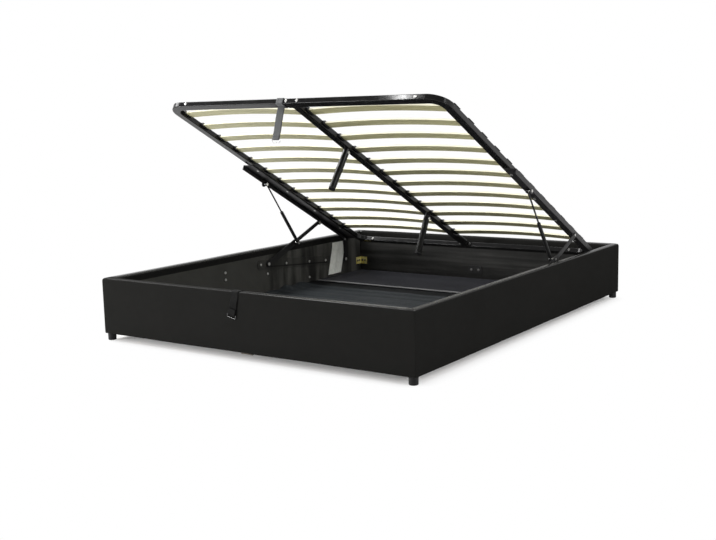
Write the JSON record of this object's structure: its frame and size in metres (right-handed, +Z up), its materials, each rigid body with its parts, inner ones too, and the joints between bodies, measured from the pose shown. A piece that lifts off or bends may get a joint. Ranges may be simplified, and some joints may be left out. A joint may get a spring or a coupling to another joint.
{
  "type": "storage bed",
  "caption": "Upholstered bed base with a slatted frame that lifts on gas struts over a storage box, with pull straps and round feet.",
  "frame": {"origin": "on the floor, under the middle of the part's outer box", "axes": "+X to the right seen from the foot end, +Y from the foot end to the head end, +Z up"},
  "size_m": [1.68, 2.0895, 1.0825],
  "materials": {
    "panel_cover": "matte black padded faux leather",
    "panel_board": "plain particle board",
    "foot": "black moulded plastic",
    "zinc": "yellow passivated zinc plate",
    "bolt": "bright zinc plated bolt",
    "floor": "thin board covered with dark grey fabric",
    "batten": "dark stained softwood",
    "mechanism": "black powder coat",
    "frame_tube": "glossy black paint",
    "slat": "bowed birch plywood",
    "cap": "soft black plastic",
    "strut": "black pressure tube",
    "rod": "dark hard-chromed rod",
    "webbing": "grey woven webbing",
    "black_strap": "black woven strap",
    "ring": "bright steel wire",
    "sheet": "blank pale sheet"
  },
  "bodies": {
    "bed_box": {"foot_panel_board": "panel_board", "foot_panel_cover": "panel_cover", "head_panel_board": "panel_board", "head_panel_cover": "panel_cover", "left_panel_board": "panel_board", "left_panel_cover": "panel_cover", "right_panel_board": "panel_board", "right_panel_cover": "panel_cover", "corner_feet": "foot", "corner_brackets": "zinc", "corner_bolts": "bolt", "panel_bolts": "bolt", "head_panel_plate": "mechanism", "base_plate_bolts": "bolt", "base_pivot_rivets": "bolt", "floor_board_1": "floor", "floor_board_2": "floor", "floor_board_3": "floor", "floor_board_4": "floor", "floor_board_5": "floor", "left_floor_batten": "batten", "right_floor_batten": "batten", "centre_floor_rail": "batten", "centre_feet": "foot", "left_base_plate": "mechanism", "right_base_plate": "mechanism", "panel_strap": "black_strap", "leaflet": "sheet"},
    "lift_frame": {"left_lift_arm": "mechanism", "right_lift_arm": "mechanism", "foot_rail": "frame_tube", "head_rail": "frame_tube", "left_side_rail": "frame_tube", "right_side_rail": "frame_tube", "centre_beam": "frame_tube", "beam_brackets": "frame_tube", "frame_bolts": "bolt", "front_centre_leg": "frame_tube", "rear_centre_leg": "frame_tube", "leg_pads": "cap", "left_slats": "slat", "right_slats": "slat", "left_slat_caps": "cap", "right_slat_caps": "cap", "centre_slat_caps": "cap", "lift_strap": "webbing"},
    "left_front_link": {"left_front_link": "mechanism", "left_link_pins": "bolt"},
    "left_rear_link": {"left_rear_link": "mechanism", "left_rear_link_pin": "bolt"},
    "left_strut_cylinder": {"left_strut_cylinder": "strut"},
    "left_strut_rod": {"left_strut_rod": "rod"},
    "right_front_link": {"right_front_link": "mechanism", "right_link_pins": "bolt"},
    "right_rear_link": {"right_rear_link": "mechanism", "right_rear_link_pin": "bolt"},
    "right_strut_cylinder": {"right_strut_cylinder": "strut"},
    "right_strut_rod": {"right_strut_rod": "rod"},
    "lift_strap_ring": {"lift_strap_ring": "ring"},
    "panel_strap_ring": {"panel_strap_ring": "ring"}
  },
  "joints": [
    {"name": "lift", "type": "hinge", "parent": "bed_box", "child": "left_front_link", "pos_m": [-0.79, 0.1, 0.203], "axis": [1, 0, 0], "range_deg": [-17.62, 0], "stiffness_Nm_per_rad": 400, "springref_deg": 57.3},
    {"name": "frame_turn", "type": "hinge", "parent": "left_front_link", "child": "lift_frame", "pos_m": [-0.784, 0.56553, 0.38544], "axis": [1, 0, 0], "range_deg": [0, 45.23]},
    {"name": "left_rear_link_turn", "type": "hinge", "parent": "bed_box", "child": "left_rear_link", "pos_m": [-0.79, 0.82775, 0.13622], "axis": [1, 0, 0], "range_deg": [-34.13, 0]},
    {"name": "left_strut_turn", "type": "hinge", "parent": "left_front_link", "child": "left_strut_cylinder", "pos_m": [-0.765, 0.33276, 0.29422], "axis": [1, 0, 0], "range_deg": [0, 68.04]},
    {"name": "left_strut_slide", "type": "slide", "parent": "left_strut_cylinder", "child": "left_strut_rod", "axis": [0, -0.5944, 0.8042], "range_m": [-0.12854, 0]},
    {"name": "right_lift", "type": "hinge", "parent": "bed_box", "child": "right_front_link", "pos_m": [0.79, 0.1, 0.203], "axis": [1, 0, 0], "range_deg": [-17.62, 0]},
    {"name": "right_rear_link_turn", "type": "hinge", "parent": "bed_box", "child": "right_rear_link", "pos_m": [0.79, 0.82775, 0.13622], "axis": [1, 0, 0], "range_deg": [-34.13, 0]},
    {"name": "right_strut_turn", "type": "hinge", "parent": "right_front_link", "child": "right_strut_cylinder", "pos_m": [0.765, 0.33276, 0.29422], "axis": [1, 0, 0], "range_deg": [0, 68.04]},
    {"name": "right_strut_slide", "type": "slide", "parent": "right_strut_cylinder", "child": "right_strut_rod", "axis": [0, -0.5944, 0.8042], "range_m": [-0.12854, 0]},
    {"name": "lift_ring_swing", "type": "hinge", "parent": "lift_frame", "child": "lift_strap_ring", "pos_m": [-0.064, -0.69669, 0.90582], "axis": [1, 0, 0], "range_deg": [-40, 40]},
    {"name": "panel_ring_swing", "type": "hinge", "parent": "bed_box", "child": "panel_strap_ring", "pos_m": [-0.05161, -1.0449, 0.19371], "axis": [0.9744, 0, -0.225], "range_deg": [-80, 0]}
  ],
  "couplings": [
    {"joint": "left_rear_link_turn", "follows": "lift", "ratio": 1.937},
    {"joint": "left_strut_turn", "follows": "lift", "ratio": -3.8618},
    {"joint": "left_strut_slide", "follows": "lift", "m_per_rad": 0.41774},
    {"joint": "right_lift", "follows": "lift", "ratio": 1},
    {"joint": "right_rear_link_turn", "follows": "lift", "ratio": 1.937},
    {"joint": "right_strut_turn", "follows": "lift", "ratio": -3.8618},
    {"joint": "right_strut_slide", "follows": "lift", "m_per_rad": 0.41774},
    {"joint": "frame_turn", "follows": "lift", "ratio": -2.5668}
  ]
}
